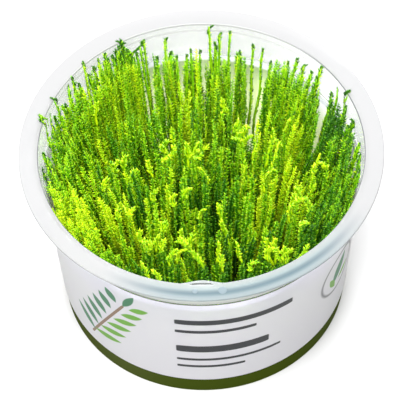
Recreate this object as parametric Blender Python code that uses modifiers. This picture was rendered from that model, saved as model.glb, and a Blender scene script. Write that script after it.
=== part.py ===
"""A clump of upright moss in its clear culture cup: a wide-rimmed plastic cup, its paper label, the gel
that feeds the moss, and the moss itself as a turf of fused, tapered tufts. The origin is at the middle
of the cup's foot, +Z is up and the label's front faces -Y."""

import math
import random

import bmesh
import bpy
from mathutils import Vector

MM = 0.001

# Driving dimensions, in millimetres
CUP_HEIGHT = 59.6
FLANGE_RADIUS = 50.5
MOUTH_RADIUS = 45.15
FOOT_RADIUS = 40.2
WALL_DRAFT = 0.0794
WALL = 0.8
FLOOR = 1.0
FOOT_CORNER = 0.9
FLANGE_THICKNESS = 0.85
SHOULDER_FOOT = 48.9
SHOULDER_TOP = 50.5
SHOULDER_STEP = 1.0
LIP_REACH = 1.3
LIP_HALF_ANGLE = math.radians(8.0)

LABEL_FOOT = 6.8
LABEL_TOP = 47.9
LABEL_THICKNESS = 0.25

GEL_TOP = 9.0
GAP = 0.3

TURF_TOP = 15.0
TUFTS_ACROSS = 19
WAIST_HEIGHT = 42.0
WAIST_SCALE = 0.8
WAIST_FAN_OUT = 0.055
WAIST_WANDER = 0.25
TIP_HEIGHT = 57.0
TIP_SPREAD = 2.8
TIP_LOWEST = 50.0
TIP_HIGHEST = 64.0
TIP_FAN_OUT = 0.165
TIP_WANDER = 1.2
TIP_TO_WALL = 0.7

ROUND_STEPS = 72
SMOOTH_ANGLE = math.radians(32)


def wall_radius(height):
    """The cup's outer radius at a height, as a plain taper below the shoulder and a wider one above."""
    taper = FOOT_RADIUS + WALL_DRAFT * min(height, SHOULDER_FOOT)
    return taper + SHOULDER_STEP if height >= SHOULDER_TOP else taper


def plain_material(name, colour, roughness, alpha=1.0):
    material = bpy.data.materials.new(name)
    material.use_nodes = True
    shader = material.node_tree.nodes["Principled BSDF"]
    shader.inputs["Base Color"].default_value = (*colour, 1.0)
    shader.inputs["Roughness"].default_value = roughness
    shader.inputs["Metallic"].default_value = 0.0
    shader.inputs["Alpha"].default_value = alpha
    return material


def add_object(name, mesh, material, collection):
    mesh.materials.clear()
    mesh.materials.append(material)
    piece = bpy.data.objects.new(name, mesh)
    collection.objects.link(piece)
    return piece


def turned_mesh(profile, closed):
    """The mesh of a profile of (radius, height) turned about Z. It runs down its outer side."""
    bm = bmesh.new()
    points = [bm.verts.new((radius * MM, 0.0, height * MM)) for radius, height in profile]
    for start, end in zip(points, points[1:]):
        bm.edges.new((start, end))
    if closed:
        bm.edges.new((points[-1], points[0]))
    line = bpy.data.meshes.new("profile")
    bm.to_mesh(line)
    bm.free()
    guide = bpy.data.objects.new("profile", line)
    bpy.context.scene.collection.objects.link(guide)
    screw = guide.modifiers.new("Turn", "SCREW")
    screw.steps = ROUND_STEPS
    screw.render_steps = ROUND_STEPS
    screw.use_merge_vertices = True
    screw.merge_threshold = 0.00001
    bpy.context.view_layer.update()
    turned = bpy.data.meshes.new_from_object(guide.evaluated_get(bpy.context.evaluated_depsgraph_get()))
    bpy.data.objects.remove(guide)
    bpy.data.meshes.remove(line)
    turned.shade_smooth()
    turned.set_sharp_from_angle(angle=SMOOTH_ANGLE)
    return turned


def press_lip(mesh):
    """Draws the mouth's inner corner inwards over a short arc at the front, as the small lip there."""
    front = math.radians(-90)
    for vertex in mesh.vertices:
        radius = math.hypot(vertex.co.x, vertex.co.y)
        at_mouth = radius < (MOUTH_RADIUS + 0.1) * MM and vertex.co.z > (CUP_HEIGHT - 2.5) * MM
        turn = abs(math.atan2(vertex.co.y, vertex.co.x) - front)
        if not at_mouth or turn > LIP_HALF_ANGLE:
            continue
        reach = LIP_REACH * math.cos(0.5 * math.pi * turn / LIP_HALF_ANGLE) ** 2
        scale = (radius - reach * MM) / radius
        vertex.co.x *= scale
        vertex.co.y *= scale


def make_cup(collection):
    """Up the inside from the floor, over the flange, and down the outside to the foot."""
    flange_foot = CUP_HEIGHT - FLANGE_THICKNESS
    outer_foot = wall_radius(SHOULDER_FOOT)
    profile = [
        (0.0, FLOOR),
        (FOOT_RADIUS - WALL - FOOT_CORNER, FLOOR),
        (wall_radius(FLOOR) - WALL, FLOOR + FOOT_CORNER),
        (outer_foot - WALL, SHOULDER_FOOT),
        (outer_foot - WALL + SHOULDER_STEP, SHOULDER_TOP),
        (MOUTH_RADIUS - 0.1, CUP_HEIGHT - 2.0),
        (MOUTH_RADIUS, CUP_HEIGHT - 0.5),
        (MOUTH_RADIUS + 0.45, CUP_HEIGHT),
        (FLANGE_RADIUS - 0.2, CUP_HEIGHT),
        (FLANGE_RADIUS, CUP_HEIGHT - 0.2),
        (FLANGE_RADIUS, flange_foot + 0.15),
        (FLANGE_RADIUS - 0.15, flange_foot),
        (MOUTH_RADIUS + WALL + 0.6, flange_foot),
        (MOUTH_RADIUS + WALL - 0.1, flange_foot - 0.8),
        (outer_foot + SHOULDER_STEP, SHOULDER_TOP),
        (outer_foot, SHOULDER_FOOT),
        (wall_radius(FOOT_CORNER), FOOT_CORNER),
        (FOOT_RADIUS - FOOT_CORNER, 0.0),
        (0.0, 0.0),
    ]
    mesh = turned_mesh(profile, closed=False)
    press_lip(mesh)
    clear_plastic = plain_material("clear_plastic", (0.86, 0.9, 0.9), 0.08, alpha=0.35)
    return add_object("cup", mesh, clear_plastic, collection)


def make_label(collection):
    """A thin band round the cup's wall, between the foot and the shoulder."""
    inner = GAP
    outer = GAP + LABEL_THICKNESS
    profile = [
        (wall_radius(LABEL_TOP) + outer, LABEL_TOP),
        (wall_radius(LABEL_FOOT) + outer, LABEL_FOOT),
        (wall_radius(LABEL_FOOT) + inner, LABEL_FOOT),
        (wall_radius(LABEL_TOP) + inner, LABEL_TOP),
    ]
    mesh = turned_mesh(profile, closed=True)
    white_paper = plain_material("white_label", (0.79, 0.8, 0.82), 0.45)
    return add_object("label", mesh, white_paper, collection)


def make_gel(collection):
    """The disc of set gel on the cup's floor."""
    clear = WALL + GAP
    foot = FLOOR + GAP
    profile = [
        (0.0, GEL_TOP),
        (wall_radius(GEL_TOP) - clear, GEL_TOP),
        (wall_radius(foot + FOOT_CORNER) - clear, foot + FOOT_CORNER),
        (wall_radius(foot) - clear - FOOT_CORNER, foot),
        (0.0, foot),
    ]
    mesh = turned_mesh(profile, closed=False)
    green_gel = plain_material("green_gel", (0.07, 0.1, 0.012), 0.25)
    return add_object("gel", mesh, green_gel, collection)


def square_to_disc(x, y):
    """Moves a point of the unit square to the unit disc, with equal areas, ring by ring."""
    if max(abs(x), abs(y)) < 1e-6:
        return 0.0, 0.0
    if abs(x) >= abs(y):
        radius, angle = x, 0.25 * math.pi * y / x
    else:
        radius, angle = y, 0.5 * math.pi - 0.25 * math.pi * x / y
    return radius * math.cos(angle), radius * math.sin(angle)


def fanned(root, fan_out, height, wander, rng):
    """The place above a tuft's root at a height, moved out from the middle and a little at random."""
    x = root.x * (1 + fan_out) + rng.uniform(-wander, wander) * MM
    y = root.y * (1 + fan_out) + rng.uniform(-wander, wander) * MM
    return Vector((x, y, height * MM))


def shrink_and_move(face, scale, middle):
    start = face.calc_center_median()
    for vertex in face.verts:
        vertex.co = middle + (vertex.co - start) * scale


def make_moss(collection):
    """A disc of matted stems on the gel. Each cell of its top is drawn up into one tapered tuft of shoots,
    which leans out from the middle and ends in a point."""
    rng = random.Random(41)
    foot = GEL_TOP + GAP
    turf_radius = wall_radius(foot) - WALL - 2 * GAP
    bm = bmesh.new()
    bmesh.ops.create_grid(bm, x_segments=TUFTS_ACROSS, y_segments=TUFTS_ACROSS, size=1.0)
    for vertex in bm.verts:
        x, y = square_to_disc(vertex.co.x, vertex.co.y)
        vertex.co = Vector((x * turf_radius, y * turf_radius, TURF_TOP)) * MM
    wander = 0.3 * turf_radius / TUFTS_ACROSS * MM
    for vertex in bm.verts:
        if not vertex.is_boundary:
            vertex.co.x += rng.uniform(-wander, wander)
            vertex.co.y += rng.uniform(-wander, wander)

    cells = list(bm.faces)
    skirt = bmesh.ops.extrude_face_region(bm, geom=cells, use_keep_orig=True)["geom"]
    under = [item for item in skirt if isinstance(item, bmesh.types.BMFace)]
    for vertex in {vertex for face in under for vertex in face.verts}:
        vertex.co.z = foot * MM
    bmesh.ops.dissolve_faces(bm, faces=under)

    for face in bmesh.ops.extrude_discrete_faces(bm, faces=cells)["faces"]:
        root = face.calc_center_median()
        out = root.xy.length / (turf_radius * MM)
        shrink_and_move(face, WAIST_SCALE, fanned(root, WAIST_FAN_OUT * out, WAIST_HEIGHT, WAIST_WANDER, rng))
        height = min(max(rng.gauss(TIP_HEIGHT, TIP_SPREAD), TIP_LOWEST), TIP_HIGHEST)
        tip = fanned(root, TIP_FAN_OUT * out, height, TIP_WANDER, rng)
        furthest = (wall_radius(height) - WALL - TIP_TO_WALL) * MM
        tip.xy *= min(1.0, furthest / tip.xy.length)
        point = bmesh.ops.extrude_discrete_faces(bm, faces=[face])["faces"][0]
        bmesh.ops.pointmerge(bm, verts=list(point.verts), merge_co=tip)

    bmesh.ops.recalc_face_normals(bm, faces=bm.faces)
    mesh = bpy.data.meshes.new("moss")
    bm.to_mesh(mesh)
    bm.free()
    green_moss = plain_material("green_moss", (0.13, 0.3, 0.01), 0.7)
    return add_object("moss", mesh, green_moss, collection)


def make_object():
    for old in list(bpy.data.objects):
        bpy.data.objects.remove(old, do_unlink=True)
    collection = bpy.data.collections.new("moss_clump_in_culture_cup")
    bpy.context.scene.collection.children.link(collection)
    make_cup(collection)
    make_label(collection)
    make_gel(collection)
    make_moss(collection)


make_object()
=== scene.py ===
import math

import bmesh
import bpy
import numpy as np
from mathutils import Matrix, Vector, noise


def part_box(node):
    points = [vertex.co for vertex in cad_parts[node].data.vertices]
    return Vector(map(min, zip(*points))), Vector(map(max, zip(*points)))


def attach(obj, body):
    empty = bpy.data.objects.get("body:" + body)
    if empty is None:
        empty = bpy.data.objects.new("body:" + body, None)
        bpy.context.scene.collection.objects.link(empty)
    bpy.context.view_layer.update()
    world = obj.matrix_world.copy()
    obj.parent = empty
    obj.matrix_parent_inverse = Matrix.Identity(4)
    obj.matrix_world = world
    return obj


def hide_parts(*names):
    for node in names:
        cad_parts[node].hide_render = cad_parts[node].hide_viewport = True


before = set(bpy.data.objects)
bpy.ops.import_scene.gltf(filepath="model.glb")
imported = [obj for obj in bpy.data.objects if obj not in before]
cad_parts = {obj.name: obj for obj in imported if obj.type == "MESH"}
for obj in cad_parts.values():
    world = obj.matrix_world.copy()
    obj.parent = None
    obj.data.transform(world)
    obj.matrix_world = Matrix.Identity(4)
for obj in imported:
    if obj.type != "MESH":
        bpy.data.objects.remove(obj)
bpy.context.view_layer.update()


# The camera looks down into the mouth from the front, from nearly a metre away, and leans a little,
# as the photograph's does. Places seen in the photograph are turned back into places in the cup here.
MM = 0.001
PHOTO_SIDE = 400.0
FOCAL_PIXELS = 3227.4
CAMERA_DISTANCE = 909.0 * MM
CAMERA_ELEVATION = math.radians(53.45)
CAMERA_ROLL = math.radians(-1.83)
CAMERA_TARGET = Vector((-0.77, 0.0, 36.42)) * MM

towards_camera = Vector((0.0, -math.cos(CAMERA_ELEVATION), math.sin(CAMERA_ELEVATION)))
level_up = Vector((0.0, math.sin(CAMERA_ELEVATION), math.cos(CAMERA_ELEVATION)))
camera_right = Vector((1.0, 0.0, 0.0)) * math.cos(CAMERA_ROLL) + level_up * math.sin(CAMERA_ROLL)
camera_up = towards_camera.cross(camera_right)
camera_place = CAMERA_TARGET + towards_camera * CAMERA_DISTANCE

camera_data = bpy.data.cameras.new("camera")
camera_data.sensor_width = 36.0
camera_data.lens = 36.0 * FOCAL_PIXELS / PHOTO_SIDE
camera_data.clip_start = 0.01
camera_data.clip_end = 20.0


def placed(name, data):
    """A new object of the scene, which shows a mesh, a lamp or the camera."""
    piece = bpy.data.objects.new(name, data)
    bpy.context.scene.collection.objects.link(piece)
    return piece


camera = placed("camera", camera_data)
turn = Matrix((camera_right, camera_up, towards_camera)).transposed().to_4x4()
camera.matrix_world = Matrix.Translation(camera_place) @ turn
bpy.context.scene.camera = camera


def seen_at(pixel_x, pixel_y, height):
    """The place at a height above the foot, in millimetres, that the photograph shows at a pixel."""
    across = (pixel_x - PHOTO_SIDE / 2) / FOCAL_PIXELS
    down = (pixel_y - PHOTO_SIDE / 2) / FOCAL_PIXELS
    sight = camera_right * across - camera_up * down - towards_camera
    place = camera_place + sight * ((height * MM - camera_place.z) / sight.z)
    return np.array((place.x, place.y, place.z)) / MM


def shown_at(places):
    """The pixels of the photograph, across and down, that show places given in millimetres."""
    from_camera = places * MM - np.array(camera_place)
    ahead = -(from_camera @ np.array(towards_camera))
    across = PHOTO_SIDE / 2 + FOCAL_PIXELS * (from_camera @ np.array(camera_right)) / ahead
    return across, PHOTO_SIDE / 2 - FOCAL_PIXELS * (from_camera @ np.array(camera_up)) / ahead


# The cup is one thin moulding of clear polypropylene: a flat foot, a tapering wall, a stacking shoulder
# and a wide flange. It is turned from its cross-section, and a small lip swells into the mouth in front.
CUP_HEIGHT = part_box("cup")[1].z / MM
FLANGE_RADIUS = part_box("cup")[1].x / MM
MOUTH_RADIUS = 45.15
FOOT_RADIUS = 40.2
WALL_DRAFT = 0.0794
WALL = 0.8
FLOOR = 1.0
FLOOR_CORNER = 1.0
FOOT_ROUNDING = 0.35
FLANGE_THICKNESS = 0.85
FLANGE_FOOT = CUP_HEIGHT - FLANGE_THICKNESS
SHOULDER_FOOT = 48.9
SHOULDER_TOP = 50.5
SHOULDER_STEP = 1.0
SHOULDER_ROUNDING = 0.35
CREASE_FOOT = CUP_HEIGHT - 3.2
CREASE_TOP = CUP_HEIGHT - 2.4
FLANGE_ROUNDING = 0.3
MOUTH_ROUNDING = 0.3
CUP_STEPS = 540
CLOUDY_FROM = 48.12
GEL_SHOWS_TO = 7.2
LIP_REACH = 1.3
LIP_DEPTH = 1.5
LIP_HALF_ANGLE = math.radians(8.0)
LIP_ASIDE = math.radians(1.2)
SLOT_DEPTH = 0.6
SLOT_HALF_ANGLE = math.radians(4.6)
PAD_HEIGHT = 0.15


def outer_wall(height):
    """The outer radius of the cup's wall, in millimetres."""
    taper = FOOT_RADIUS + WALL_DRAFT * np.minimum(height, SHOULDER_FOOT)
    return taper + SHOULDER_STEP * np.clip((height - SHOULDER_FOOT) / (SHOULDER_TOP - SHOULDER_FOOT), 0, 1)


def arc(centre_radius, centre_height, size, start, end, points):
    """Points of a fillet in the cross-section, from one angle to another, in degrees."""
    angles = [math.radians(start + (end - start) * i / (points - 1)) for i in range(points)]
    return [(centre_radius + size * math.cos(a), centre_height + size * math.sin(a)) for a in angles]


def turned(name, profile, steps, closed=False):
    """A mesh object spun about the cup's axis from a cross-section of (radius, height)."""
    bm = bmesh.new()
    points = [bm.verts.new((radius * MM, 0.0, height * MM)) for radius, height in profile]
    ends = points[1:] + points[:1] if closed else points[1:]
    lines = [bm.edges.new(pair) for pair in zip(points, ends)]
    bmesh.ops.spin(
        bm, geom=points + lines, axis=(0, 0, 1), cent=(0, 0, 0), angle=math.tau, steps=steps, use_merge=True
    )
    bmesh.ops.remove_doubles(bm, verts=bm.verts, dist=1e-6)
    bmesh.ops.recalc_face_normals(bm, faces=bm.faces)
    mesh = bpy.data.meshes.new(name)
    bm.to_mesh(mesh)
    bm.free()
    mesh.shade_smooth()
    mesh.set_sharp_from_angle(angle=math.radians(40))
    return placed(name, mesh)


inner_shoulder = outer_wall(SHOULDER_FOOT) - WALL
cup_section = [
    (0.0, FLOOR),
    *arc(outer_wall(FLOOR) - WALL - FLOOR_CORNER, FLOOR + FLOOR_CORNER, FLOOR_CORNER, -90, 0, 6),
    (outer_wall(CLOUDY_FROM) - WALL, CLOUDY_FROM),
    *arc(inner_shoulder - SHOULDER_ROUNDING, SHOULDER_FOOT - 0.1, SHOULDER_ROUNDING, 0, 40, 3),
    *arc(inner_shoulder + SHOULDER_STEP - SHOULDER_ROUNDING, SHOULDER_TOP, SHOULDER_ROUNDING, -40, 0, 3),
    (MOUTH_RADIUS - 0.19, CREASE_FOOT),
    (MOUTH_RADIUS - 0.1, CREASE_TOP),
    (MOUTH_RADIUS - 0.04, CUP_HEIGHT - 1.2),
    *arc(MOUTH_RADIUS + MOUTH_ROUNDING, CUP_HEIGHT - MOUTH_ROUNDING, MOUTH_ROUNDING, 180, 90, 6),
    *[(MOUTH_RADIUS + past, CUP_HEIGHT) for past in (0.4, 0.48, 0.62, 0.75, 1.0)],
    *arc(FLANGE_RADIUS - FLANGE_ROUNDING, CUP_HEIGHT - FLANGE_ROUNDING, FLANGE_ROUNDING, 90, 0, 4),
    *arc(FLANGE_RADIUS - FLANGE_ROUNDING, FLANGE_FOOT + FLANGE_ROUNDING, FLANGE_ROUNDING, 0, -90, 4),
    *arc(MOUTH_RADIUS + 1.6, FLANGE_FOOT - 0.8, 0.8, 90, 180, 5),
    *arc(inner_shoulder + WALL + SHOULDER_STEP - 0.4, SHOULDER_TOP + 0.2, 0.4, 0, -40, 3),
    (outer_wall(SHOULDER_FOOT), SHOULDER_FOOT),
    (outer_wall(CLOUDY_FROM), CLOUDY_FROM),
    (outer_wall(GEL_SHOWS_TO), GEL_SHOWS_TO),
    *arc(outer_wall(FOOT_ROUNDING) - FOOT_ROUNDING, FOOT_ROUNDING, FOOT_ROUNDING, 0, -90, 5),
    (0.0, 0.0),
]
cup = turned("cup_clear", cup_section, CUP_STEPS)


def turn_from_lip(place):
    """How far round the cup a place lies from the middle of the lip, in radians."""
    return abs(math.atan2(place.x, -place.y) + LIP_ASIDE)


# Behind the lip the flange dips in a short slot. Each pair is a distance past the mouth and how far the
# plastic there is drawn towards the axis, as a share of the lip's reach.
lip_pull = ((0.0, 1.0), (0.25, 1.0), (0.4, 0.6), (0.48, 0.53), (0.62, 0.47), (0.75, 0.4), (1.0, 0.0))
for vertex in cup.data.vertices:
    radius = math.hypot(vertex.co.x, vertex.co.y) / MM
    lip_turn = turn_from_lip(vertex.co)
    at_mouth = radius < MOUTH_RADIUS + 0.99 and vertex.co.z / MM > CUP_HEIGHT - LIP_DEPTH
    if lip_turn < LIP_HALF_ANGLE and at_mouth:
        pull = np.interp(radius - MOUTH_RADIUS, *zip(*lip_pull))
        reach = pull * LIP_REACH * math.cos(0.5 * math.pi * lip_turn / LIP_HALF_ANGLE) ** 1.5
        if 0.45 < radius - MOUTH_RADIUS < 0.7 and lip_turn < SLOT_HALF_ANGLE:
            vertex.co.z -= SLOT_DEPTH * MM * math.cos(0.5 * math.pi * lip_turn / SLOT_HALF_ANGLE)
        vertex.co.xy *= (radius - reach) / radius

# Two low, round pads stand on the flange behind the lip: the place and the radius of each.
pads = bmesh.new()
pads.from_mesh(cup.data)
faces_without_pads = len(pads.faces)
for pad_x, pad_y, pad_radius in ((-2.9, -47.5, 0.75), (4.5, -47.4, 1.2)):
    pad = bmesh.ops.create_uvsphere(pads, u_segments=32, v_segments=12, radius=pad_radius * MM)
    for vertex in pad["verts"]:
        vertex.co.z *= PAD_HEIGHT / pad_radius
        vertex.co += Vector((pad_x, pad_y, CUP_HEIGHT)) * MM
pads.to_mesh(cup.data)
pads.free()


def new_material(name):
    """A material with its own nodes, and those nodes and their links."""
    material = bpy.data.materials.new(name)
    material.use_nodes = True
    return material, material.node_tree.nodes, material.node_tree.links


def set_inputs(node, **values):
    """Sets a node's own inputs, whose names are given with a low line for each space."""
    for name, value in values.items():
        node.inputs[name.replace("_", " ")].default_value = value


def share_between(nodes, links, value, low, high, smooth=False):
    """Where a node's value lies between two ends, as 0 to 1."""
    share = nodes.new("ShaderNodeMapRange")
    if smooth:
        share.interpolation_type = "SMOOTHSTEP"
    set_inputs(share, From_Min=low, From_Max=high)
    links.new(value, share.inputs["Value"])
    return share.outputs["Result"]


def mixed(nodes, links, share, first, second, kind="RGBA"):
    """The mix of two colours or numbers, either of which may be what another node gives."""
    mix = nodes.new("ShaderNodeMix")
    mix.data_type = kind
    links.new(share, mix.inputs["Factor"])
    for name, value in (("A", first), ("B", second)):
        if isinstance(value, bpy.types.NodeSocket):
            links.new(value, mix.inputs[name])
        else:
            mix.inputs[name].default_value = (*value, 1) if kind == "RGBA" else value
    return mix.outputs["Result"]


def ramp_colour(nodes, links, value, stops):
    """The colour of a node's value on a ramp, whose stops each give a place from 0 to 1 and a colour."""
    ramp = nodes.new("ShaderNodeValToRGB")
    elements = ramp.color_ramp.elements
    for element, (position, colour) in zip(elements, (stops[0], stops[-1])):
        element.position = position
        element.color = (*colour, 1)
    for position, colour in stops[1:-1]:
        elements.new(position).color = (*colour, 1)
    links.new(value, ramp.inputs["Fac"])
    return ramp.outputs["Color"]


def vector_result(nodes, links, operation, source, second=None):
    """What a vector sum gives for a node's vector and, where it needs one, a fixed second vector."""
    step = nodes.new("ShaderNodeVectorMath")
    step.operation = operation
    links.new(source, step.inputs[0])
    if second:
        step.inputs[1].default_value = second
    return step.outputs["Value" if operation in ("LENGTH", "DOT_PRODUCT") else "Vector"]


def mixed_shader(nodes, links, share, first, second):
    """The mix of two shaders by a fixed share, or by the share that another node gives."""
    mix = nodes.new("ShaderNodeMixShader")
    if isinstance(share, bpy.types.NodeSocket):
        links.new(share, mix.inputs["Fac"])
    else:
        mix.inputs["Fac"].default_value = share
    links.new(first, mix.inputs[1])
    links.new(second, mix.inputs[2])
    return mix.outputs["Shader"]


# The plastic's colours, painted shade and reflection, change round the cup and across its rim: which way its
# front faces, at which cosines of the turn from there the front and the back colours set in, and from where
# to where the rings lie.
FRONT_WAY = (0.242, -0.970, 0.0)
FRONT_SETS_IN = (0.62, 0.98)
BACK_SETS_IN = (-0.3, -0.85)
RINGS_FROM = 45.0
RINGS_TO = 51.0


def plastic_material(name, refraction, gloss, shade, front, side, back):
    """Moulded polypropylene, clear or clouded, which lets the light of the lamps through. Its front, side
    and back each have a haze and a colour of painted shade and reflection, and the front's colour is a row
    of rings."""
    material, nodes, links = new_material(name)
    plastic = nodes["Principled BSDF"]
    set_inputs(plastic, Base_Color=(0.98, 0.99, 0.99, 1), Roughness=0.04, IOR=refraction)
    set_inputs(plastic, Specular_Tint=(gloss, gloss, gloss, 1), Transmission_Weight=1.0)
    place = nodes.new("ShaderNodeTexCoord").outputs["Object"]
    flat = vector_result(nodes, links, "MULTIPLY", place, (1.0, 1.0, 0.0))
    reach = vector_result(nodes, links, "LENGTH", flat)
    across_rim = share_between(nodes, links, reach, RINGS_FROM * MM, RINGS_TO * MM)
    front_shade_colour = ramp_colour(nodes, links, across_rim, front[1])
    outward = vector_result(nodes, links, "NORMALIZE", flat)
    frontward = vector_result(nodes, links, "DOT_PRODUCT", outward, FRONT_WAY)
    to_front = share_between(nodes, links, frontward, *FRONT_SETS_IN, smooth=True)
    to_back = share_between(nodes, links, frontward, *BACK_SETS_IN, smooth=True)
    painted_side_colour = mixed(nodes, links, to_back, side[1], back[1])
    side_haze = mixed(nodes, links, to_back, side[0], back[0], "FLOAT")
    haze = mixed(nodes, links, to_front, side_haze, front[0], "FLOAT")
    cloud = nodes.new("ShaderNodeBsdfDiffuse")
    links.new(mixed(nodes, links, to_front, painted_side_colour, front_shade_colour), cloud.inputs["Color"])
    cloudy = mixed_shader(nodes, links, haze, plastic.outputs["BSDF"], cloud.outputs["BSDF"])
    ripple = nodes.new("ShaderNodeTexNoise")
    set_inputs(ripple, Scale=60.0, Detail=3.0)
    links.new(place, ripple.inputs["Vector"])
    ripple_bump = nodes.new("ShaderNodeBump")
    set_inputs(ripple_bump, Strength=0.05, Distance=0.2 * MM)
    links.new(ripple.outputs["Fac"], ripple_bump.inputs["Height"])
    links.new(ripple_bump.outputs["Normal"], plastic.inputs["Normal"])
    lamp_light = nodes.new("ShaderNodeBsdfTransparent")
    set_inputs(lamp_light, Color=(*shade, 1))
    in_shadow = nodes.new("ShaderNodeLightPath").outputs["Is Shadow Ray"]
    surface = mixed_shader(nodes, links, in_shadow, cloudy, lamp_light.outputs["BSDF"])
    links.new(surface, nodes["Material Output"].inputs["Surface"])
    return material


def one_ring(haze, colour):
    """The front of a part that has the same colour all across it."""
    return haze, ((0.1, colour), (0.9, colour))


# Each part of the plastic has its refraction, gloss and shade, then its haze and colour in front, at the
# sides and at the back, whose colours are painted shade and reflection. The flange's front has rings of
# painted shade and reflection, from the mouth to its outer edge.
FLANGE_SHADE_RINGS = (
    (0.08, (0.24, 0.26, 0.26)), (0.22, (0.22, 0.25, 0.25)), (0.35, (0.18, 0.22, 0.225)),
    (0.44, (0.115, 0.15, 0.165)), (0.55, (0.082, 0.12, 0.14)), (0.64, (0.11, 0.15, 0.165)),
    (0.75, (0.18, 0.215, 0.225)), (0.9, (0.19, 0.22, 0.225)),
)
WHITE_HAZE = (0.278, 0.278, 0.28)
BACK_HAZE = (0.276, 0.276, 0.278)
BAND_SHADED_FRONT = one_ring(0.75, (0.485, 0.5, 0.475))
BAND_SIDE = (0.3, (0.6, 0.6, 0.6))
SLOT_SHADOW = (0.8, (0.11, 0.12, 0.12))
GEL_GREEN = (0.036, 0.052, 0.0055)
GEL_LIGHT_AT_SIDE = (0.05, 0.064, 0.016)
GEL_SHADE = (0.7, 0.75, 0.5)
CLEAR = (0.8, 0.8, 0.8)
CLEAR_SHADE = (0.94, 0.95, 0.95)
CLOUDED_SHADE = (0.86, 0.87, 0.88)
plastic_parts = (
    ("clear_wall", 1.16, 0.06, CLEAR_SHADE, one_ring(0.004, CLEAR), (0.004, CLEAR), (0.004, CLEAR)),
    ("cloudy_rim", 1.46, 0.7, CLOUDED_SHADE, (0.75, FLANGE_SHADE_RINGS), (0.75, WHITE_HAZE), (0.93, BACK_HAZE)),
    # The band under the flange is painted darker in front, as the flange's shade, and darker still at the
    # back.
    ("milky_band", 1.46, 0.5, CLOUDED_SHADE, BAND_SHADED_FRONT, BAND_SIDE, (0.38, (0.33, 0.33, 0.33))),
    # The mouth's rounded edge is painted dark grey, as the shade and reflection seen in it.
    (
        "mouth_edge_shade", 1.46, 0.5, CLOUDED_SHADE,
        one_ring(0.8, (0.2, 0.22, 0.22)), (0.85, (0.12, 0.125, 0.13)), (0.95, (0.38, 0.38, 0.38)),
    ),
    # The pads' fronts are painted the flange's blue-grey shade and reflection.
    (
        "flange_pads", 1.46, 0.5, CLOUDED_SHADE,
        one_ring(0.8, (0.165, 0.205, 0.225)), (0.8, WHITE_HAZE), (0.8, WHITE_HAZE),
    ),
    # Over the gel the cup's outer face is painted the gel's green seen through it, paler at the sides as
    # painted light.
    (
        "gel_behind_wall", 1.16, 0.06, GEL_SHADE,
        one_ring(1.0, GEL_GREEN), (1.0, GEL_LIGHT_AT_SIDE), (1.0, GEL_GREEN),
    ),
    # The slot behind the lip is painted dark, as its shadow.
    ("shaded_lip_slot", 1.46, 0.5, CLOUDED_SHADE, one_ring(0.8, (0.06, 0.065, 0.065)), SLOT_SHADOW, SLOT_SHADOW),
    # The crease inside the mouth takes the band's painted shade.
    ("mouth_crease", 1.46, 0.5, CLOUDED_SHADE, BAND_SHADED_FRONT, BAND_SIDE, (0.55, (0.335, 0.335, 0.325))),
)
for plastic_part in plastic_parts:
    cup.data.materials.append(plastic_material(*plastic_part))
part_index = {plastic_part[0]: index for index, plastic_part in enumerate(plastic_parts)}

# Each face belongs to the part that it lies in, by its height and its distance from the axis.
for face in cup.data.polygons:
    face_height = face.center.z / MM
    face_reach = face.center.xy.length / MM
    lip_turn = turn_from_lip(face.center)
    in_slot = lip_turn < SLOT_HALF_ANGLE and MOUTH_RADIUS - 0.5 < face_reach < MOUTH_RADIUS + 0.4
    at_mouth = face_height > CUP_HEIGHT - MOUTH_ROUNDING
    if face.index >= faces_without_pads:
        part_name = "flange_pads"
        face.use_smooth = True
    elif CREASE_FOOT < face_height < CREASE_TOP and face_reach < MOUTH_RADIUS:
        part_name = "mouth_crease"
    elif in_slot and CUP_HEIGHT - 0.7 < face_height < CUP_HEIGHT - 0.12 and face.normal.z > 0.1:
        part_name = "shaded_lip_slot"
    elif face_height < GEL_SHOWS_TO and face_reach > outer_wall(face_height) - 0.5:
        part_name = "gel_behind_wall"
    elif face_height < CLOUDY_FROM:
        part_name = "clear_wall"
    elif face_height < FLANGE_FOOT - 0.3 and face_reach < MOUTH_RADIUS + 0.9:
        part_name = "milky_band"
    elif at_mouth and lip_turn < 0.85 * LIP_HALF_ANGLE:
        part_name = "cloudy_rim"
    elif at_mouth and face_reach < MOUTH_RADIUS + MOUTH_ROUNDING - 0.05:
        part_name = "mouth_edge_shade"
    else:
        part_name = "milky_band" if face_reach < MOUTH_RADIUS + 0.02 else "cloudy_rim"
    face.material_index = part_index[part_name]
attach(cup, "root")
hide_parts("cup")


# The label is a band of thin white plastic-coated paper stuck round the wall. It is bare but for a
# printed sprig, a few plain rules and a small oval with three leaves.
LABEL_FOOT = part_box("label")[0].z / MM
LABEL_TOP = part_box("label")[1].z / MM
LABEL_STAND_OFF = 0.03
LABEL_THICKNESS = 0.2
PRINT_RADIUS = 43.0
label_section = [
    (outer_wall(LABEL_TOP) + LABEL_STAND_OFF + LABEL_THICKNESS, LABEL_TOP),
    (outer_wall(LABEL_FOOT) + LABEL_STAND_OFF + LABEL_THICKNESS, LABEL_FOOT),
    (outer_wall(LABEL_FOOT) + LABEL_STAND_OFF, LABEL_FOOT),
    (outer_wall(LABEL_TOP) + LABEL_STAND_OFF, LABEL_TOP),
]
label = turned("label_band", label_section, 240, closed=True)


def number_result(nodes, links, operation, *values):
    """What a sum gives for its values, each a fixed number or what another node gives."""
    step = nodes.new("ShaderNodeMath")
    step.operation = operation
    for socket, value in zip(step.inputs, values):
        if isinstance(value, bpy.types.NodeSocket):
            links.new(value, socket)
        else:
            socket.default_value = value
    return step.outputs["Value"]


def axes_of(nodes, links):
    """How far each place of a piece lies along X, Y and Z, in metres."""
    split = nodes.new("ShaderNodeSeparateXYZ")
    links.new(nodes.new("ShaderNodeTexCoord").outputs["Object"], split.inputs["Vector"])
    return split.outputs


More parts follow.
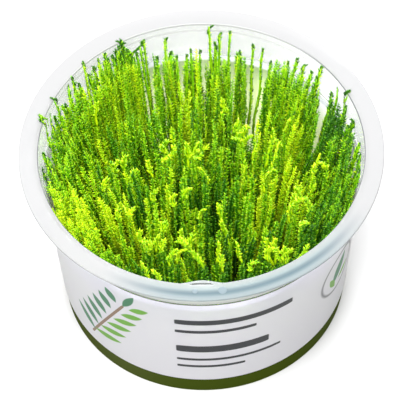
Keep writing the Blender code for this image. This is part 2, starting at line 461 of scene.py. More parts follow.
# One printed shape: where the two powers of a place along and across it add up to less than one.
print_shape = bpy.data.node_groups.new("print_shape", "ShaderNodeTree")
print_shape.interface.new_socket("Place", in_out="INPUT", socket_type="NodeSocketVector")
for power in ("Power Along", "Power Across"):
    print_shape.interface.new_socket(power, in_out="INPUT", socket_type="NodeSocketFloat")
print_shape.interface.new_socket("Mask", in_out="OUTPUT", socket_type="NodeSocketFloat")
nodes, links = print_shape.nodes, print_shape.links
shape_in = nodes.new("NodeGroupInput")
shape_out = nodes.new("NodeGroupOutput")
split_place = nodes.new("ShaderNodeSeparateXYZ")
links.new(shape_in.outputs["Place"], split_place.inputs["Vector"])
powers = []
for axis, power in (("X", "Power Along"), ("Y", "Power Across")):
    size_of = number_result(nodes, links, "ABSOLUTE", split_place.outputs[axis])
    powers.append(number_result(nodes, links, "POWER", size_of, shape_in.outputs[power]))
within = number_result(nodes, links, "ADD", *powers)
soft_edge = share_between(nodes, links, within, 1.0, 0.8)
links.new(soft_edge, shape_out.inputs["Mask"])


def lit_through(nodes, links, colour, roughness, share):
    """Finishes a material as a thin sheet of one colour, which lets a share of the light through."""
    sheet = nodes["Principled BSDF"]
    set_inputs(sheet, Roughness=roughness)
    links.new(colour, sheet.inputs["Base Color"])
    through = nodes.new("ShaderNodeBsdfTranslucent")
    links.new(colour, through.inputs["Color"])
    surface = mixed_shader(nodes, links, share, sheet.outputs["BSDF"], through.outputs["BSDF"])
    links.new(surface, nodes["Material Output"].inputs["Surface"])


white_label, nodes, links = new_material("white_coated_label")
label_axes = axes_of(nodes, links)
forward = number_result(nodes, links, "MULTIPLY", label_axes["Y"], -1.0)
turn_from_front = number_result(nodes, links, "ARCTAN2", label_axes["X"], forward)
along = number_result(nodes, links, "MULTIPLY", turn_from_front, PRINT_RADIUS)
up = number_result(nodes, links, "DIVIDE", label_axes["Z"], MM)
label_place = nodes.new("ShaderNodeCombineXYZ")
links.new(along, label_place.inputs["X"])
links.new(up, label_place.inputs["Y"])

INK = (0.03, 0.033, 0.038)
PAPER = (0.745, 0.725, 0.815)
DARK_LEAF = (0.05, 0.22, 0.105)
LIGHT_LEAF = (0.17, 0.42, 0.04)
TWIG = (0.28, 0.18, 0.12)
leaf, bar, oval = (2.0, 1.0), (14.0, 14.0), (2.0, 2.0)
# Each shape has the powers of its outline, its place along the label and above the foot, half its length
# and width, its turn in degrees and its ink.
label_shapes = [(bar, -31.0, 25.0, 15.5, 0.45, 62, TWIG)]
for number in range(6):
    share = number / 5
    stem_along = -36.5 + 12.5 * share
    stem_up = 14.5 + 23.5 * share
    leaf_size = 5.6 - 2.2 * share
    label_shapes.append((leaf, stem_along - 3.6, stem_up + 3.4, leaf_size, 1.5, 128 - 10 * share, DARK_LEAF))
    label_shapes.append((leaf, stem_along + 4.9, stem_up + 0.9, leaf_size, 1.4, 10 + 12 * share, LIGHT_LEAF))
label_shapes.append((leaf, -22.0, 42.0, 4.4, 1.3, 62, DARK_LEAF))
label_shapes += [
    (bar, 8.0, 38.5, 17.0, 1.25, 0, INK),
    (bar, 2.5, 33.5, 11.5, 0.75, 0, INK),
    (bar, 4.5, 24.0, 13.5, 1.7, 0, INK),
    (bar, 6.5, 18.2, 15.5, 0.6, 0, INK),
    (bar, 1.0, 14.4, 10.0, 0.6, 0, INK),
    (oval, 45.5, 30.0, 9.4, 9.4, 0, INK),
    (oval, 45.5, 30.0, 8.7, 8.7, 0, PAPER),
    (leaf, 45.5, 31.0, 6.6, 2.4, 62, DARK_LEAF),
    (leaf, 48.8, 26.6, 3.4, 1.2, 20, LIGHT_LEAF),
    (leaf, 42.4, 26.8, 3.6, 1.3, 118, LIGHT_LEAF),
]
ink = PAPER
for outline, shape_along, shape_up, half_length, half_width, turn_degrees, ink_colour in label_shapes:
    local = nodes.new("ShaderNodeMapping")
    local.vector_type = "TEXTURE"
    set_inputs(local, Location=(shape_along, shape_up, 0), Scale=(half_length, half_width, 1))
    set_inputs(local, Rotation=(0, 0, math.radians(turn_degrees)))
    links.new(label_place.outputs["Vector"], local.inputs["Vector"])
    shape = nodes.new("ShaderNodeGroup")
    shape.node_tree = print_shape
    set_inputs(shape, Power_Along=outline[0], Power_Across=outline[1])
    links.new(local.outputs["Vector"], shape.inputs["Place"])
    ink = mixed(nodes, links, shape.outputs["Mask"], ink, ink_colour)
lit_through(nodes, links, ink, 0.35, 0.5)
label.data.materials.append(white_label)

# Its glued side is painted with light and shade: the yellow-green light that the moss throws on it low down,
# painted shade towards its top at the back, white at the sides, and a pale grey strip along the very edge.
label_back, nodes, links = new_material("label_back")
glued_axes = axes_of(nodes, links)
aside = number_result(nodes, links, "ABSOLUTE", glued_axes["X"])
at_side = share_between(nodes, links, aside, 22.0 * MM, 32.0 * MM, smooth=True)
upper_shade_colour = mixed(nodes, links, at_side, (0.32, 0.42, 0.2), (0.97, 0.98, 0.95))
to_top = share_between(nodes, links, glued_axes["Z"], 32.0 * MM, 48.0 * MM, smooth=True)
moss_light_and_shade = mixed(nodes, links, to_top, (0.88, 1.0, 0.5), upper_shade_colour)
at_top = share_between(nodes, links, glued_axes["Z"], 44.9 * MM, 45.6 * MM)
painted_glued_colour = mixed(nodes, links, at_top, moss_light_and_shade, (0.74, 0.75, 0.73))
lit_through(nodes, links, painted_glued_colour, 0.6, 0.6)
label.data.materials.append(label_back)

# Its cut edges are painted dark, as the shade of the flange, but for the top one at the back, which takes
# the glued side's pale strip.
shaded_label_edge, nodes, links = new_material("shaded_label_edge")
set_inputs(nodes["Principled BSDF"], Base_Color=(0.09, 0.095, 0.07, 1), Roughness=0.6)
label.data.materials.append(shaded_label_edge)
GLUED_SIDE = 1
SHADED_CUT_EDGE = 2
for face in label.data.polygons:
    pale_top = face.center.y > 15.0 * MM and face.normal.z > 0
    if abs(face.normal.z) > 0.5:
        face.material_index = GLUED_SIDE if pale_top else SHADED_CUT_EDGE
    elif face.normal.xy.dot(face.center.xy) < 0:
        face.material_index = GLUED_SIDE
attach(label, "root")
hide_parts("label")


# The gel is a set, cloudy nutrient jelly poured on the cup's floor. It has gone olive green from the moss
# above it and rises a little where it wets the wall.
GEL_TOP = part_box("gel")[1].z / MM
GEL_RISE = 0.8
WETTED = 0.02
gel_section = [
    (0.0, GEL_TOP - GEL_RISE),
    (outer_wall(GEL_TOP) - WALL - 3.0, GEL_TOP - GEL_RISE),
    (outer_wall(GEL_TOP) - WALL - 1.0, GEL_TOP - 0.55),
    (outer_wall(GEL_TOP) - WALL + WETTED, GEL_TOP),
    *arc(outer_wall(FLOOR) - WALL - FLOOR_CORNER, FLOOR + FLOOR_CORNER, FLOOR_CORNER + WETTED, 0, -90, 6),
    (0.0, FLOOR - WETTED),
]
gel = turned("gel_disc", gel_section, CUP_STEPS)

olive_gel, nodes, links = new_material("olive_gel")
jelly = nodes["Principled BSDF"]
set_inputs(jelly, Base_Color=(0.018, 0.03, 0.001, 1), Roughness=0.5, Specular_IOR_Level=0.0)
gel.data.materials.append(olive_gel)
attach(gel, "root")
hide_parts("gel")


# The moss is some two thousand upright shoots, each a thin stem with a row of pointed leaves on either
# side. They grew crowded together from one mat on the gel and lean out towards the wall, and only some of
# them stand above the rest. Young side shoots near the top have forked and are a bright lime green.
MOSS_SEED = 23
TURF_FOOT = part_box("moss")[0].z / MM
TURF_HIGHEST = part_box("moss")[1].z / MM
ROOT_HEIGHT = TURF_FOOT + 0.1
SHOOT_SPACING = 2.4
ROW_SHARE = 0.866  # of the spacing, so that each shoot is as far from all six round it
ROOT_SHARE = 0.88
MOSS_TO_WALL = 0.9
TIP_HEIGHT = 54.0
TIP_SPREAD = 3.5
UNDER_HEIGHT = 40.0
UNDER_SPREAD = 5.0
CLUMP_SIZE = 8.0
STEM_RINGS = 11
SWAY = 0.3
SWAY_WAVES = 1.7
MOSS_PIECES = 4
moss_rng = np.random.default_rng(MOSS_SEED)


def bowed(roots, bends, tips, share):
    """Places along stems that bend towards their tips."""
    return roots * (1 - share) ** 2 + bends * 2 * share * (1 - share) + tips * share**2


def curve_at(roots, bends, tips, sway, share):
    """Places and unit directions along each stem, which bends towards its tip and sways a little."""
    share = share[..., None]
    wave = share * SWAY_WAVES * math.tau + sway[..., :1] * 40.0
    place = bowed(roots, bends, tips, share) + sway * np.sin(wave) * (1 - share**4)
    way = (bends - roots) * 2 * (1 - share) + (tips - bends) * 2 * share
    way = way + sway * np.cos(wave) * SWAY_WAVES * math.tau * (1 - share**4)
    return place, way / np.linalg.norm(way, axis=-1, keepdims=True)


def across_axes(way):
    """Two unit directions square to each of these directions and to each other."""
    side = np.cross(way, np.array((0.0, 1.0, 0.02)))
    side /= np.linalg.norm(side, axis=-1, keepdims=True)
    return side, np.cross(way, side)


def grow(
    roots, bends, tips, tones, leaf_pairs, spacing, leaf_length, leaf_width, spread, stem_radius,
    dark_tip=0.0, youngest=0.5, sway_size=SWAY, leaf_variation=0.2
):
    """The points, triangles and map places of stems with two rows of leaves, as arrays. The tones are how
    bright the shoots are, the spread is the angle of the leaves to the stem in degrees, and the rest is in
    millimetres or a share."""
    count = len(roots)
    shape = (count, leaf_pairs * 2)
    lengths = np.linalg.norm(tips - roots, axis=1)
    sway = moss_rng.normal(0, sway_size, (count, 3)) * (1, 1, 0)
    curve = (roots[:, None], bends[:, None], tips[:, None], sway[:, None])

    # Each leaf is a slim pyramid of four points. Those near the tip are younger, smaller and less spread.
    from_tip = (np.arange(leaf_pairs * 2) * 0.5 + 0.4) * spacing
    from_tip = from_tip + moss_rng.uniform(-0.12, 0.12, shape) * spacing
    share = np.clip(1 - from_tip / lengths[:, None], 0.02, 1.0)
    place, way = curve_at(*curve, share)
    side, front = across_axes(way)
    facing = moss_rng.normal(0, 0.7, count)[:, None] + moss_rng.normal(0, 0.35, shape)
    angle = facing + math.pi * (np.arange(leaf_pairs * 2) % 2)
    out = side * np.cos(angle)[..., None] + front * np.sin(angle)[..., None]
    young = np.clip(from_tip / 2.5, 0, 1)
    tilt = np.radians(spread) * (0.45 + 0.55 * young) + moss_rng.normal(0, 0.16, shape)
    aim = way * np.cos(tilt)[..., None] + out * np.sin(tilt)[..., None]
    wide = np.cross(aim, out)
    wide /= np.linalg.norm(wide, axis=-1, keepdims=True)
    thick = np.cross(wide, aim)
    size = ((youngest + (1 - youngest) * young) * moss_rng.uniform(0.75, 1.2, shape))[..., None]
    base = place + out * stem_radius * 0.4
    left = base - wide * leaf_width * 0.5 * size + aim * 0.12
    right = base + wide * leaf_width * 0.5 * size + aim * 0.12
    keel = base - thick * leaf_width * 0.35 * size + aim * 0.2
    point = base + aim * leaf_length * size
    leaves = np.stack((left, right, keel, point), axis=2).reshape(-1, 3)
    leaf_faces = np.array(((0, 1, 3), (1, 2, 3), (2, 0, 3), (0, 2, 1)))
    faces = (np.arange(count * leaf_pairs * 2)[:, None, None] * 4 + leaf_faces[None]).reshape(-1, 3)
    tone = tones[:, None] + moss_rng.normal(0, leaf_variation, shape)
    tone = np.clip(tone - dark_tip * np.clip((3.2 - from_tip) / 2.4, 0, 1), -0.1, 1.25)
    depth = 0.012 + from_tip / 50.0
    # Each leaf is painted darker at its base than at its point, as shade by the stem.
    leaf_map = np.stack(
        (
            np.stack((tone - 0.36, tone - 0.33, tone - 0.38, tone + 0.24), axis=2),
            np.stack((depth, depth + 0.003, depth + 0.006, depth + 0.002), axis=2),
        ),
        axis=3,
    ).reshape(-1, 2)

    # Each stem is a three-sided rod, closed at both ends, which thins towards its tip.
    rings = np.linspace(0.0, 1.0, STEM_RINGS)[None] * np.ones((count, 1))
    place, way = curve_at(*curve, rings)
    side, front = across_axes(way)
    corner = np.arange(3) * math.tau / 3
    slim = stem_radius * (1.0 - 0.35 * rings**4)[..., None, None]
    ring = side[:, :, None] * np.cos(corner)[:, None] + front[:, :, None] * np.sin(corner)[:, None]
    stems = (place[:, :, None] + ring * slim).reshape(-1, 3)
    low = (np.arange(STEM_RINGS - 1)[:, None] * 3 + np.arange(3)[None]).ravel()
    low_next = (np.arange(STEM_RINGS - 1)[:, None] * 3 + (np.arange(3)[None] + 1) % 3).ravel()
    walls = np.concatenate(
        (np.stack((low, low_next, low_next + 3), 1), np.stack((low, low_next + 3, low + 3), 1))
    )
    top = (STEM_RINGS - 1) * 3
    walls = np.concatenate((walls, np.array(((0, 2, 1), (top, top + 1, top + 2)))))
    stem_first = len(leaves) + np.arange(count)[:, None, None] * STEM_RINGS * 3
    faces = np.concatenate((faces, (stem_first + walls[None]).reshape(-1, 3)))
    stem_tone = np.clip(tones, 0.1, 1.0)[:, None, None] - 0.05 + 0.01 * np.arange(3)
    stem_tone = np.broadcast_to(stem_tone, (count, STEM_RINGS, 3))
    stem_depth = 0.012 + (1 - rings)[..., None] * lengths[:, None, None] / 58.0
    stem_depth = np.broadcast_to(stem_depth, (count, STEM_RINGS, 3))
    stem_map = np.stack((stem_tone, stem_depth), axis=3).reshape(-1, 2)
    return np.concatenate((leaves, stems)), faces, np.concatenate((leaf_map, stem_map))


def pull_in(places, limit):
    """What to multiply places by, so that none lies further from the axis than the limit."""
    return np.minimum(limit / np.maximum(np.linalg.norm(places[:, :2], axis=1), 1e-6), 1.0)[:, None]


def moss_piece(name, parts):
    """One joined mesh object from the arrays that grow() gives."""
    starts = np.cumsum([0] + [len(points) for points, _, _ in parts])
    points = np.concatenate([points for points, _, _ in parts])
    wall = np.where(points[:, 2] > CUP_HEIGHT + 0.2, FLANGE_RADIUS, outer_wall(points[:, 2]) - WALL - 0.05)
    points[:, :2] *= pull_in(points, wall)
    points *= MM
    faces = np.concatenate([faces + start for (_, faces, _), start in zip(parts, starts)])
    places = np.clip(np.concatenate([place for _, _, place in parts]), 0.01, 0.99)
    mesh = bpy.data.meshes.new(name)
    mesh.vertices.add(len(points))
    mesh.vertices.foreach_set("co", points.astype(np.float32).ravel())
    mesh.loops.add(faces.size)
    mesh.loops.foreach_set("vertex_index", faces.astype(np.int32).ravel())
    mesh.polygons.add(len(faces))
    mesh.polygons.foreach_set("loop_start", np.arange(0, faces.size, 3, dtype=np.int32))
    mesh.update(calc_edges=True)
    uv = mesh.uv_layers.new(name="OFBake")
    uv.uv.foreach_set("vector", places[faces.ravel()].astype(np.float32).ravel())
    return placed(name, mesh)


def inner_limit(height):
    """How far from the axis a shoot may lean at a height, in millimetres."""
    return np.where(height > CUP_HEIGHT + 0.5, 46.5, outer_wall(height) - WALL - MOSS_TO_WALL)


def kept_inside(places):
    """The places, moved towards the axis where they would be in the cup's wall."""
    return np.column_stack((places[:, :2] * pull_in(places, inner_limit(places[:, 2])), places[:, 2]))


def patch(places, x, y, reach):
    """How near each place is to a patch of the turf, from 1 at its middle to 0."""
    return np.exp(-((places[:, 0] - x) ** 2 + (places[:, 1] - y) ** 2) / reach**2)


# The shoots stand in rows that are shifted by half a step, each a little off its place. One in four is tall.
turf_radius = outer_wall(TURF_FOOT) - WALL - MOSS_TO_WALL
rows = int(2 * turf_radius / (SHOOT_SPACING * ROW_SHARE)) + 2
steps = range(-rows // 2, rows // 2 + 1)
grid = np.array(
    [
        ((column + 0.5 * (row % 2)) * SHOOT_SPACING, row * SHOOT_SPACING * ROW_SHARE)
        for row in steps
        for column in steps
    ]
)
tall = np.array([row % 2 == 0 and column % 2 == 0 for row in steps for column in steps])
grid += moss_rng.uniform(-0.5, 0.5, (len(grid), 2)) * SHOOT_SPACING
tall = tall[np.linalg.norm(grid, axis=1) < turf_radius]
grid = grid[np.linalg.norm(grid, axis=1) < turf_radius]
shoot_count = len(grid)
roots = np.column_stack((grid * ROOT_SHARE, np.full(shoot_count, ROOT_HEIGHT)))
out_share = np.linalg.norm(grid, axis=1) / turf_radius


def clump_noise(step_x=0.0, step_y=0.0):
    """How the turf gathers into clumps at each shoot's place, or a step aside of it."""
    places = [(x / CLUMP_SIZE + step_x, y / CLUMP_SIZE + step_y, 3.7) for x, y in grid]
    return np.array([noise.noise(Vector(place)) for place in places])


# Clumps and three patches of the turf stand higher. It falls off towards the wall and, between the tall
# shoots, in front.
clump = clump_noise()
clump_x = clump_noise(step_x=0.1) - clump
clump_y = clump_noise(step_y=0.1) - clump
heights = moss_rng.normal(TIP_HEIGHT, TIP_SPREAD, shoot_count)
under = ~tall
heights[under] = moss_rng.normal(UNDER_HEIGHT, UNDER_SPREAD, shoot_count)[under]
lit_patch = patch(grid, -33, -12, 15)
heights += (1.5 + 8.0 * under) * (patch(grid, 22, -2, 6) + patch(grid, -19, -6, 6))
heights = np.clip(heights + 3.0 * clump + (4.0 + 13.0 * under) * lit_patch, 30.0, TURF_HIGHEST - 1.2)
tips = grid * (1 + 0.13 * out_share)[:, None]
tips += np.column_stack((clump_x, clump_y)) * 14.0 + moss_rng.normal(0, 1.0, grid.shape)
heights -= 4.5 * out_share**3 + 6.0 * under * np.clip((-grid[:, 1] - 12.0) / 14.0, 0, 1)
tips = kept_inside(np.column_stack((tips, heights)))
bends = roots + (tips - roots) * np.array((0.38, 0.38, 0.55)) + moss_rng.normal(0, 0.8, roots.shape)
bends = kept_inside(bends)

tones = 0.46 + 0.14 * tall + 0.1 * clump + moss_rng.normal(0, 0.22, shoot_count)


def rooted(tips, lean):
    """The places on the gel where shoots with these tips grow, a little nearer to the axis."""
    foot = tips[:, :2] * (1 - lean)
    foot *= pull_in(foot, turf_radius - 0.2)
    return np.column_stack((foot, np.full(len(tips), ROOT_HEIGHT)))


# More shoots stand along the wall, the most of them at the back and the tallest at the sides. Each run has
# where it starts and ends, in degrees from the right-hand side, and how many shoots are in it.
wall_runs = ((-50, 235, 380), (5, 50, 80), (100, 170, 120), (50, 130, 150), (172, 240, 90), (235, 310, 110))
wall_turn = np.radians(np.concatenate([np.linspace(*run) for run in wall_runs]))
wall_turn += moss_rng.normal(0, 0.012, len(wall_turn))
wall_reach = moss_rng.uniform(36.5, 43.2, len(wall_turn))
wall_height = moss_rng.uniform(42.0, 51.0, len(wall_turn)) + 7.0 * np.abs(np.cos(wall_turn))
wall_height += 5.0 * np.exp(-((wall_turn - math.radians(125)) / 0.3) ** 2)
wall_height -= 4.0 * np.clip(-np.sin(wall_turn) * 2 - 1, 0, 1)
wall_tip = np.column_stack((wall_reach * np.cos(wall_turn), wall_reach * np.sin(wall_turn), wall_height))
wall_root = rooted(wall_tip, 0.17)
wall_bend = kept_inside(0.5 * (wall_root + wall_tip) + moss_rng.normal(0, 0.6, wall_tip.shape))
roots = np.concatenate((roots, wall_root))
bends = np.concatenate((bends, wall_bend))
tips = np.concatenate((tips, wall_tip))
tones = np.concatenate((tones, moss_rng.uniform(0.3, 0.7, len(wall_turn))))

# Where the turf is paler or darker: the place, how far it reaches and by how much.
for x, y, reach, paler in (
    (-40, -16, 12, 0.55), (-24, -19, 10, 0.4), (-32, 3, 10, 0.1), (-22, 22, 5, -0.25), (27, -2, 8, 0.9),
    (5, -5, 6, -0.65), (14, -4, 5, 0.4), (30, -30, 10, -0.5), (11, -35, 8, -0.6), (38, 12, 10, -0.2),
    (7, -28, 6, -0.35), (-18, -8, 4, -0.5), (-10, -11, 5, 0.4), (-27, -5, 5, 0.15), (-10, 24, 4, -0.25),
    (4, 24, 7, -0.25), (26, 15, 7, 0.6), (-17, 31, 6, 0.3), (-30, 27, 7, 0.25), (26, -18, 5, -0.4),
    (34, -9, 7, -0.25), (-4, -24, 6, 0.4), (-22, -12, 4, 0.3), (4, -22, 4, 0.3), (37, 15, 8, -0.35),
    (18, -9, 5, 0.35), (15, -27, 5, -0.3),
):
    tones += paler * patch(tips, x, y, reach)
# The shoots are painted darker towards the front wall, as the shade there, and a little paler towards the
# back.
tones += 0.1 * np.clip(tips[:, 1] / 20.0, 0, 1) - 0.45 * np.clip((-tips[:, 1] - 28.0) / 10.0, 0, 1)
tones = np.clip(tones, 0.1, 1.3)

# The white wall shows through some narrow gaps near the back: the middle, the top, the bottom and half the
# width of each in the photograph. No shoot stands in them.
open_gaps = (
    (148, 56, 84, 3.0), (147, 92, 110, 2.6), (164, 88, 100, 1.2), (180.5, 61, 80, 1.4), (203, 67, 79, 0.8),
    (249, 63, 93, 2.2), (251, 92, 129, 1.2), (258.5, 91, 113, 1.5), (321.5, 92, 130, 1.6),
    (324, 70, 96, 3.0), (232, 61, 71, 3.0), (264, 66, 76, 4.0),
)
stands = np.ones(len(tips), bool)
for share in np.linspace(0.15, 1.0, 18)[:, None]:
    across, down = shown_at(bowed(roots, bends, tips, share))
    for middle, gap_top, gap_foot, half_width in open_gaps:
        stands &= (np.abs(across - middle) > half_width + 1.0) | (down < gap_top) | (down > gap_foot)
roots, bends, tips, tones = roots[stands], bends[stands], tips[stands], tones[stands]

order = np.argsort(np.arctan2(tips[:, 1], tips[:, 0]))
moss_parts = []
for part in np.array_split(order, MOSS_PIECES):
    quarter = (roots[part], bends[part], tips[part], tones[part])
    shoots = grow(
        *quarter, leaf_pairs=30, spacing=1.04, leaf_length=1.2, leaf_width=0.74, spread=46, stem_radius=0.17
    )
    moss_parts.append([shoots])


# Loose shoots that stand above the turf along its edge: across and down in the photograph, the height
# of the tip, and how bright the shoot is. Those in the middle of the back are the thinnest.
edge_tips = (
    (40, 117, 62.4, 0.45), (47, 114, 59, 0.3), (53, 98, 60, 0.3), (55, 117, 56, 0.2), (63, 107, 55, 0.4),
    (66, 105, 55, 0.5), (67, 85, 59, 0.35), (72, 78, 60, 0.4), (79, 84, 57, 0.3), (83, 63, 61, 0.55),
    (89, 75, 57, 0.4), (93, 67, 58, 0.5), (98, 59, 59, 0.5), (104, 62, 57, 0.5), (112, 56, 58, 0.5),
    (105, 54, 60, 0.4), (122, 41, 62, 0.45), (130, 53, 57, 0.3), (144, 41, 60, 0.5), (157, 57, 54, 0.3),
    (165, 39, 60, 0.5), (171, 52, 56, 0.35), (177, 57, 54, 0.35), (187, 55, 55, 0.4), (191, 50, 57, 0.35),
    (200, 51, 57, 0.35), (209, 27, 62, 0.5), (215, 43, 58, 0.4), (220, 34, 60, 0.45), (217, 47, 57, 0.3),
    (230, 32, 61, 0.4), (240, 52, 55, 0.4), (253, 45, 57, 0.45), (263, 49, 57, 0.4), (271, 62, 55, 0.3),
    (288, 62, 56, 0.4), (297, 59, 58, 0.4), (304, 66, 57, 0.5), (312, 72, 57, 0.35), (317, 77, 56, 0.3),
    (322, 67, 60, 0.55), (332, 93, 54, 0.2), (340, 87, 58, 0.35), (350, 91, 60, 0.45), (346, 106, 57, 0.2),
    (353, 120, 58, 0.2), (348, 126, 56, 0.25), (360, 144, 58, 0.4), (361, 155, 57, 0.3), (361, 171, 57, 0.3),
    (43, 154, 57, 0.25), (40, 166, 57, 0.2), (108, 60, 59, 0.5), (116, 50, 61, 0.4), (119, 47, 61, 0.3),
    (125, 48, 61, 0.35), (128, 50, 60, 0.3), (133, 58, 58, 0.4), (137, 53, 60, 0.3), (140, 47, 61, 0.4),
    (114, 58, 59, 0.3), (122, 55, 60, 0.35),
)
edge_tip = np.array([seen_at(across, down, height) for across, down, height, _ in edge_tips])
edge_tone = np.array([row[3] for row in edge_tips]) + 0.2
edge_root = rooted(edge_tip, 0.2)
edge_bend = kept_inside(0.4 * edge_root + 0.6 * edge_tip + moss_rng.normal(0, 0.6, edge_tip.shape))
at_back = (edge_tip[:, 1] > 25) & (np.abs(edge_tip[:, 0] - 4) < 22)
for group, leaf_size, stem_radius in ((at_back, 0.95, 0.44), (~at_back, 1.25, 0.48)):
    edge_shoots = grow(
        edge_root[group], edge_bend[group], edge_tip[group], edge_tone[group],
        leaf_pairs=34, spacing=1.0, leaf_length=leaf_size, leaf_width=0.8 * leaf_size, spread=38,
        stem_radius=stem_radius, dark_tip=0.65, youngest=1.0, leaf_variation=0.5
    )
    moss_parts[0].append(edge_shoots)

# Hooked and knobbed tips of some of them: across and down in the photograph for the foot, the bend and the
# tip, then the tip's height and how bright the hook is.
hook_points = np.array((
    (208, 34, 208, 27, 213, 26, 62, 0.15), (54, 102, 54, 98, 50, 98, 60, 0.12),
    (303, 70, 302, 66, 307, 65, 57, 0.2), (121, 46, 121, 42, 117, 41, 62, 0.15),
    (122, 46, 122, 42, 125, 43, 62, 0.15), (142, 46, 141, 41, 145, 40, 60, 0.2),
    (131, 55, 136, 50, 142, 45, 60, 0.2), (48, 126, 45, 118, 39, 115, 61, 0.7),
    (354, 128, 355, 122, 351, 119, 58, 0.2), (219, 40, 219, 35, 222, 33, 60, 0.3),
    (165, 44, 165, 40, 167, 38, 60, 0.3),
))
hook_places = []
for column in (0, 2, 4):
    across, down = hook_points[:, column], hook_points[:, column + 1]
    hook_height = hook_points[:, 6] - 0.4 * (down - hook_points[:, 5])
    hook_places.append(np.array([seen_at(*place) for place in zip(across, down, hook_height)]))
hooks = grow(
    *hook_places, hook_points[:, 7], leaf_pairs=8, spacing=0.35, leaf_length=0.7, leaf_width=0.6, spread=40,
    stem_radius=0.38, dark_tip=0.2, youngest=1.0, sway_size=0.05
)
moss_parts[0].append(hooks)

# Each of the straight ones ends in a small dark bud.
straight = np.array([
    np.hypot(hook_points[:, 4] - across, hook_points[:, 5] - down).min() > 6
    for across, down, _, _ in edge_tips
])
bud_way = edge_bend - edge_tip
bud_foot = (edge_tip + bud_way / np.linalg.norm(bud_way, axis=1, keepdims=True))[straight]
bud_tip = 1.2 * edge_tip[straight] - 0.2 * bud_foot
buds = grow(
    bud_foot, 0.5 * (bud_foot + bud_tip), bud_tip, np.full(len(bud_tip), 0.05),
    leaf_pairs=5, spacing=0.2, leaf_length=0.65, leaf_width=0.6, spread=50,
    stem_radius=0.3, youngest=1.0, sway_size=0.02, leaf_variation=0.1
)
moss_parts[0].append(buds)

# Young forked side shoots: across and down in the photograph for the foot, the bend and the tip of each.
fork_points = np.array((
    (116, 173, 115, 167, 112, 163), (115, 168, 117, 162, 121, 161), (125, 171, 124, 163, 126, 156),
    (162, 163, 165, 159, 170, 157), (169, 158, 173, 153, 173, 148), (164, 153, 163, 146, 168, 141),
    (168, 157, 166, 151, 164, 147), (172, 152, 175, 151, 176, 148), (189, 168, 188, 158, 187, 143),
    (189, 158, 194, 152, 197, 144), (196, 150, 202, 150, 208, 146), (193, 157, 199, 158, 203, 154),
    (197, 151, 199, 147, 201, 143), (208, 184, 206, 176, 200, 168), (185, 199, 185, 192, 191, 189),
    (155, 201, 153, 195, 157, 190), (133, 183, 132, 175, 137, 170), (153, 177, 150, 169, 148, 161),
    (129, 222, 127, 214, 124, 207), (128, 217, 131, 212, 134, 209), (120, 222, 118, 216, 119, 209),
    (163, 232, 163, 227, 160, 222), (163, 229, 165, 226, 167, 222), (191, 252, 187, 244, 180, 238),
    (183, 241, 181, 236, 181, 230), (189, 248, 190, 241, 192, 236), (187, 245, 183, 243, 178, 241),
    (200, 219, 200, 213, 204, 210), (175, 206, 172, 199, 176, 195), (147, 253, 146, 247, 144, 243),
    (142, 243, 140, 236, 140, 231), (157, 252, 156, 243, 158, 236), (163, 252, 162, 246, 165, 240),
    (104, 191, 104, 185, 107, 179), (242, 147, 240, 141, 233, 138), (242, 144, 246, 139, 251, 136),
    (238, 139, 236, 130, 239, 122), (240, 134, 244, 128, 249, 127), (244, 141, 243, 134, 246, 130),
    (228, 113, 224, 107, 223, 99), (224, 126, 222, 119, 223, 114), (265, 168, 270, 150, 274, 131),
    (265, 193, 264, 182, 268, 174), (266, 178, 270, 172, 275, 171), (284, 132, 287, 126, 289, 121),
    (280, 147, 279, 143, 277, 140), (291, 216, 292, 202, 295, 194), (294, 205, 299, 196, 297, 189),
    (297, 203, 303, 198, 309, 204), (308, 217, 310, 208, 306, 202), (290, 223, 289, 212, 292, 206),
    (314, 174, 314, 169, 313, 166), (327, 169, 324, 165, 321, 163), (229, 242, 222, 222, 219, 205),
    (230, 246, 226, 234, 222, 221), (204, 268, 199, 260, 191, 251), (217, 262, 219, 252, 219, 244),
    (223, 272, 222, 262, 222, 256), (242, 262, 239, 254, 238, 245), (251, 271, 251, 263, 257, 263),
    (274, 265, 269, 255, 266, 238), (275, 264, 276, 252, 272, 243), (277, 257, 275, 247, 275, 240),
    (281, 263, 277, 254, 274, 250), (269, 262, 267, 254, 270, 248), (286, 264, 285, 256, 281, 251),
    (286, 261, 288, 253, 291, 250), (286, 259, 285, 252, 285, 248), (289, 264, 298, 259, 308, 245),
    (300, 226, 303, 224, 307, 223), (170, 266, 170, 257, 177, 250), (178, 263, 178, 254, 185, 250),
    (200, 263, 191, 250, 181, 240), (150, 279, 146, 272, 142, 263), (161, 280, 158, 275, 154, 271),
    (150, 255, 146, 248, 145, 241), (148, 250, 150, 245, 149, 242), (97, 126, 96, 114, 97, 103),
))
FORK_HEIGHT = 57.5
FORK_REACH = 42.8
fork_foot, fork_bend, fork_tip = [], [], []
for foot_x, foot_y, bend_x, bend_y, tip_x, tip_y in fork_points:
    height = FORK_HEIGHT
    while np.linalg.norm(seen_at(tip_x, tip_y, height)[:2]) > FORK_REACH:
        height -= 0.5
    fork_tip.append(seen_at(tip_x, tip_y, height))
    fork_bend.append(seen_at(bend_x, bend_y, height - 0.38 * (bend_y - tip_y)))
    fork_foot.append(seen_at(foot_x, foot_y, height - 0.38 * (foot_y - tip_y)))
fork_foot = kept_inside(np.array(fork_foot))
fork_tip = kept_inside(np.array(fork_tip))
fork_bend = kept_inside(np.array(fork_bend))
fork_bend = 2 * fork_bend - 0.5 * (fork_foot + fork_tip)
fork_tone = moss_rng.uniform(0.8, 1.0, len(fork_tip))
forks = grow(
    fork_foot, fork_bend, fork_tip, fork_tone, leaf_pairs=10, spacing=0.5, leaf_length=1.25, leaf_width=1.15,
    spread=44, stem_radius=0.42, youngest=1.0, sway_size=0.1
)
moss_parts[2].append(forks)

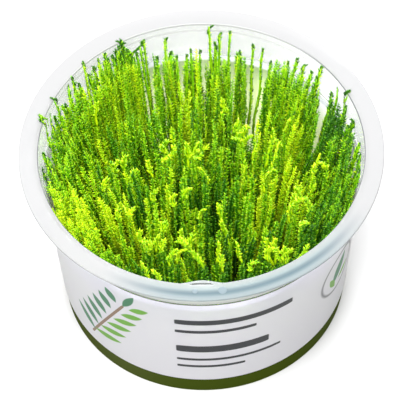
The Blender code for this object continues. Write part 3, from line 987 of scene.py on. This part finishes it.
# Each side shoot has a stem below it that comes from the mat.
below_root = rooted(fork_foot, 0.1)
below_bend = kept_inside(0.4 * below_root + 0.6 * fork_foot + moss_rng.normal(0, 0.5, fork_foot.shape))
below_tone = moss_rng.uniform(0.5, 0.8, len(fork_tip))
# Those towards the front wall are painted darker, as the shade there.
below_tone -= 0.25 * np.clip((-fork_foot[:, 1] - 22.0) / 8.0, 0, 1)
below = grow(
    below_root, below_bend, fork_foot, below_tone,
    leaf_pairs=30, spacing=1.0, leaf_length=1.2, leaf_width=0.6, spread=44, stem_radius=0.15
)
moss_parts[3].append(below)

# The leaves' map holds how bright each one is, and how deep in the turf, where they turn a dull dark green.
leaf_green, nodes, links = new_material("moss_leaf")
moss_map = nodes.new("ShaderNodeUVMap")
moss_map.uv_map = "OFBake"
tone_and_depth = nodes.new("ShaderNodeSeparateXYZ")
links.new(moss_map.outputs["UV"], tone_and_depth.inputs["Vector"])
leaf_stops = (
    (0.0, (0.01, 0.1, 0.001)), (0.25, (0.08, 0.33, 0.001)), (0.5, (0.28, 0.67, 0.002)),
    (0.75, (0.5, 0.83, 0.004)), (1.0, (0.82, 0.96, 0.008)),
)
leaf_tone = ramp_colour(nodes, links, tone_and_depth.outputs["X"], leaf_stops)
to_root = share_between(nodes, links, tone_and_depth.outputs["Y"], 0.42, 0.8)
leaf_colour = mixed(nodes, links, to_root, leaf_tone, (0.06, 0.15, 0.008))
set_inputs(nodes["Principled BSDF"], Specular_IOR_Level=0.5)
lit_through(nodes, links, leaf_colour, 0.38, 0.4)

for number, parts in enumerate(moss_parts, 1):
    shoots = moss_piece(f"moss_shoots_{number}", parts)
    shoots.data.materials.append(leaf_green)
    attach(shoots, "root")
    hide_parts("moss")


# The floor is a wide plain white sheet, painted paler further off where the lamps' light falls away, as
# painted light, so that it fades into the room. A white room lights the object evenly, and two large soft
# lamps, one at the upper left and one behind, give the leaves their lit sides.
floor_mesh = bmesh.new()
bmesh.ops.create_grid(floor_mesh, x_segments=1, y_segments=1, size=4.0)
floor_data = bpy.data.meshes.new("floor")
floor_mesh.to_mesh(floor_data)
floor_mesh.free()
floor = placed("floor", floor_data)
white_sheet, nodes, links = new_material("white_sheet")
sheet_place = nodes.new("ShaderNodeTexCoord").outputs["Object"]
from_middle = vector_result(nodes, links, "LENGTH", sheet_place)
beyond_lamp_light = share_between(nodes, links, from_middle, 0.5, 0.9)
sheet_colour = mixed(nodes, links, beyond_lamp_light, (0.47, 0.47, 0.47), (0.95, 0.95, 0.95))
links.new(sheet_colour, nodes["Principled BSDF"].inputs["Base Color"])
set_inputs(nodes["Principled BSDF"], Roughness=0.9)
floor_data.materials.append(white_sheet)

room = bpy.data.worlds.new("white_room")
bpy.context.scene.world = room
room.use_nodes = True
set_inputs(room.node_tree.nodes["Background"], Color=(1.0, 1.0, 1.0, 1), Strength=0.7)

for lamp_name, lamp_place, lamp_size, lamp_power in (
    ("key", Vector((-0.12, -0.35, 0.86)), 0.7, 21.0),
    ("back", Vector((0.1, 0.68, 0.3)), 0.6, 10.5),
):
    lamp_data = bpy.data.lights.new(lamp_name, "AREA")
    lamp_data.shape = "DISK"
    lamp_data.size = lamp_size
    lamp_data.energy = lamp_power
    lamp_turn = lamp_place.to_track_quat("Z", "Y").to_matrix().to_4x4()
    placed(lamp_name, lamp_data).matrix_world = Matrix.Translation(lamp_place) @ lamp_turn

bpy.context.scene.view_settings.view_transform = "Standard"
